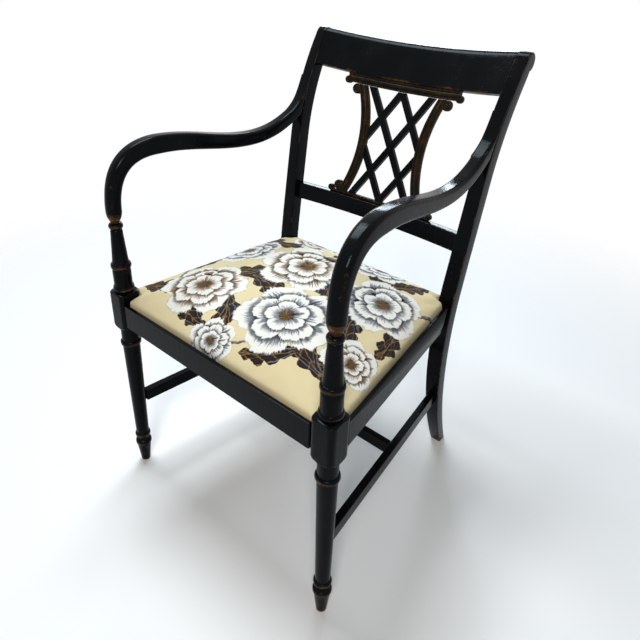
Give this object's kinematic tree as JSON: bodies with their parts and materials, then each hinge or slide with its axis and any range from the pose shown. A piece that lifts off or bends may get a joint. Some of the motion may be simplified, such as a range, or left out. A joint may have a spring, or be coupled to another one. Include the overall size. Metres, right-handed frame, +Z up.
{
  "type": "armchair",
  "caption": "Open armchair with turned front legs, swept back posts, scrolled arms, a lattice splat between crest and mid rail, and a padded lift-out seat.",
  "frame": {"origin": "on the floor, at the bottom centre of the whole chair's bounding box", "axes": "+Z up; the chair faces -Y; +X is to the right of someone who looks at its front"},
  "size_m": [0.5244, 0.5678, 0.8337],
  "materials": {
    "black_lacquer": "semi-gloss black lacquer",
    "worn_lacquer": "black lacquer rubbed to brown",
    "plain_wood": "bare sawn wood",
    "webbing": "woven strap",
    "hessian": "coarse weave",
    "wadding": "soft felted fibre",
    "printed_cotton": "floral print on cotton",
    "steel": "plain wood screw"
  },
  "bodies": {
    "frame": {"front_seat_rail": "black_lacquer", "back_seat_rail": "black_lacquer", "cross_stretcher": "black_lacquer", "crest_rail": "black_lacquer", "mid_rail": "black_lacquer", "splat_top_bar": "worn_lacquer", "splat_base_bar": "worn_lacquer", "front_leg_left": "black_lacquer", "back_post_left": "black_lacquer", "side_seat_rail_left": "black_lacquer", "side_stretcher_left": "black_lacquer", "arm_left": "black_lacquer", "arm_screw_left": "steel", "arm_plug_left": "black_lacquer", "splat_side_left": "worn_lacquer", "lattice_long_left": "black_lacquer", "lattice_low_left": "black_lacquer", "lattice_high_left": "black_lacquer", "corner_block_front_left": "plain_wood", "corner_screw_front_left": "steel", "corner_block_back_left": "plain_wood", "corner_screw_back_left": "steel", "front_leg_right": "black_lacquer", "back_post_right": "black_lacquer", "side_seat_rail_right": "black_lacquer", "side_stretcher_right": "black_lacquer", "arm_right": "black_lacquer", "arm_screw_right": "steel", "arm_plug_right": "black_lacquer", "splat_side_right": "worn_lacquer", "lattice_long_right": "black_lacquer", "lattice_low_right": "black_lacquer", "lattice_high_right": "black_lacquer", "corner_block_front_right": "plain_wood", "corner_screw_front_right": "steel", "corner_block_back_right": "plain_wood", "corner_screw_back_right": "steel"},
    "seat": {"seat_board_front": "plain_wood", "seat_board_back": "plain_wood", "seat_board_left": "plain_wood", "seat_board_right": "plain_wood", "hessian_base": "hessian", "seat_pad": "wadding", "seat_cover": "printed_cotton", "webbing_long_1": "webbing", "webbing_cross_1": "webbing", "webbing_long_2": "webbing", "webbing_cross_2": "webbing", "webbing_long_3": "webbing", "webbing_cross_3": "webbing"}
  },
  "joints": [
    {"name": "seat_lift", "type": "slide", "parent": "frame", "child": "seat", "axis": [0, 0, 1], "range_m": [0, 0.1]}
  ]
}
